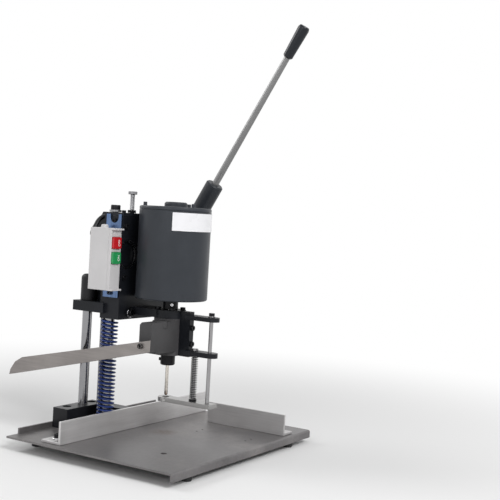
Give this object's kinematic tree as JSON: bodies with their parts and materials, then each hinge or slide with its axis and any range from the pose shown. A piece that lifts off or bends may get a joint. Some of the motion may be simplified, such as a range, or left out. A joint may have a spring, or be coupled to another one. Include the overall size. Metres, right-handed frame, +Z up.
{
  "type": "paper drill",
  "caption": "Bench drill for stacks of tags: motor head on two columns with a return spring, side lever, spring presser, chip tray, switch box and two stop fences.",
  "frame": {"origin": "on the bench, under the middle of the machine", "axes": "+Z up along the drill axis, +Y from the operator to the columns, +X to the operator's right, where the lever is"},
  "size_m": [0.4, 0.4262, 0.7038],
  "materials": {
    "table_steel": "satin grey sheet steel",
    "rubber": "matte black",
    "fence_aluminium": "brushed",
    "black_oxide": "black oxide",
    "block_paint": "semi-gloss near black paint",
    "cast_paint": "semi-gloss charcoal paint",
    "motor_paint": "semi-gloss charcoal paint",
    "chrome": "polished",
    "steel": "ground",
    "bronze": "turned",
    "copper": "lacquered winding and plates",
    "spring_blue": "gloss blue",
    "spring_black": "black",
    "zinc": "blue zinc plated",
    "pale_plastic": "satin light grey",
    "white_label": "white film",
    "red_plastic": "gloss red",
    "green_plastic": "gloss green",
    "grip_plastic": "gloss black"
  },
  "bodies": {
    "stand": {"base_table": "table_steel", "foot_front_left": "rubber", "foot_rear_left": "rubber", "foot_front_right": "rubber", "foot_rear_right": "rubber", "back_fence": "fence_aluminium", "side_fence": "fence_aluminium", "fence_bolt_left": "black_oxide", "fence_bolt_right": "black_oxide", "fence_bolt_front": "black_oxide", "fence_bolt_rear": "black_oxide", "column_block": "block_paint", "rear_column": "chrome", "front_column": "chrome", "column_collar": "block_paint", "column_top_screw": "black_oxide", "rack_bar": "steel", "return_spring": "spring_blue"},
    "head": {"head_casting": "cast_paint", "front_bush": "bronze", "rear_bush": "bronze", "rear_column_cap": "rubber", "top_plate": "cast_paint", "rear_cover": "cast_paint", "shaft_bush": "bronze", "depth_stop_bolt": "chrome", "depth_stop_nut": "black_oxide", "motor_casing": "motor_paint", "motor_top_cover": "motor_paint", "motor_stator": "copper", "motor_label": "white_label", "spindle_housing": "motor_paint", "lower_bearing": "steel", "upper_bearing": "steel", "chip_outlet": "motor_paint", "chip_tray": "fence_aluminium", "presser_bracket": "cast_paint", "presser_spring": "spring_black", "switch_mount_plate": "zinc", "plate_slot_screw": "black_oxide", "switch_box": "pale_plastic", "switch_cover": "pale_plastic", "contact_block": "rubber", "motor_lead": "rubber"},
    "presser": {"presser_plate": "steel", "presser_guide_rod": "chrome", "presser_spring_rod": "steel", "guide_rod_washer": "chrome"},
    "spindle": {"spindle_shaft": "steel", "shaft_coupling": "steel", "motor_rotor": "steel", "drill_chuck": "black_oxide", "drill_bit": "steel"},
    "lever": {"lever_shaft": "steel", "gear_quadrant": "steel", "lever_arm": "motor_paint", "lever_rod": "steel", "lever_grip": "grip_plastic"},
    "stop_button": {"stop_button": "red_plastic"},
    "start_button": {"start_button": "green_plastic"}
  },
  "joints": [
    {"name": "head_slide", "type": "slide", "parent": "stand", "child": "head", "axis": [0, 0, -1], "range_m": [0, 0.049], "stiffness_N_per_m": 4000, "springref_m": -0.09, "deforming": ["return_spring"]},
    {"name": "lever_turn", "type": "hinge", "parent": "head", "child": "lever", "pos_m": [0.112, 0.03109, 0.31], "axis": [1, 0, 0], "range_deg": [0, 70.24]},
    {"name": "spindle_spin", "type": "hinge", "parent": "head", "child": "spindle", "pos_m": [0.001, -0.04691, 0.182], "axis": [0, 0, 1], "continuous": true},
    {"name": "presser_slide", "type": "slide", "parent": "head", "child": "presser", "axis": [0, 0, 1], "range_m": [0, 0.04], "stiffness_N_per_m": 150, "springref_m": -0.02, "deforming": ["presser_spring"]},
    {"name": "stop_push", "type": "slide", "parent": "head", "child": "stop_button", "axis": [0, 1, 0], "range_m": [0, 0.003], "stiffness_N_per_m": 500, "springref_m": -0.002},
    {"name": "start_push", "type": "slide", "parent": "head", "child": "start_button", "axis": [0, 1, 0], "range_m": [0, 0.003], "stiffness_N_per_m": 500, "springref_m": -0.002}
  ],
  "couplings": [
    {"joint": "lever_turn", "follows": "head_slide", "rad_per_m": 25}
  ]
}
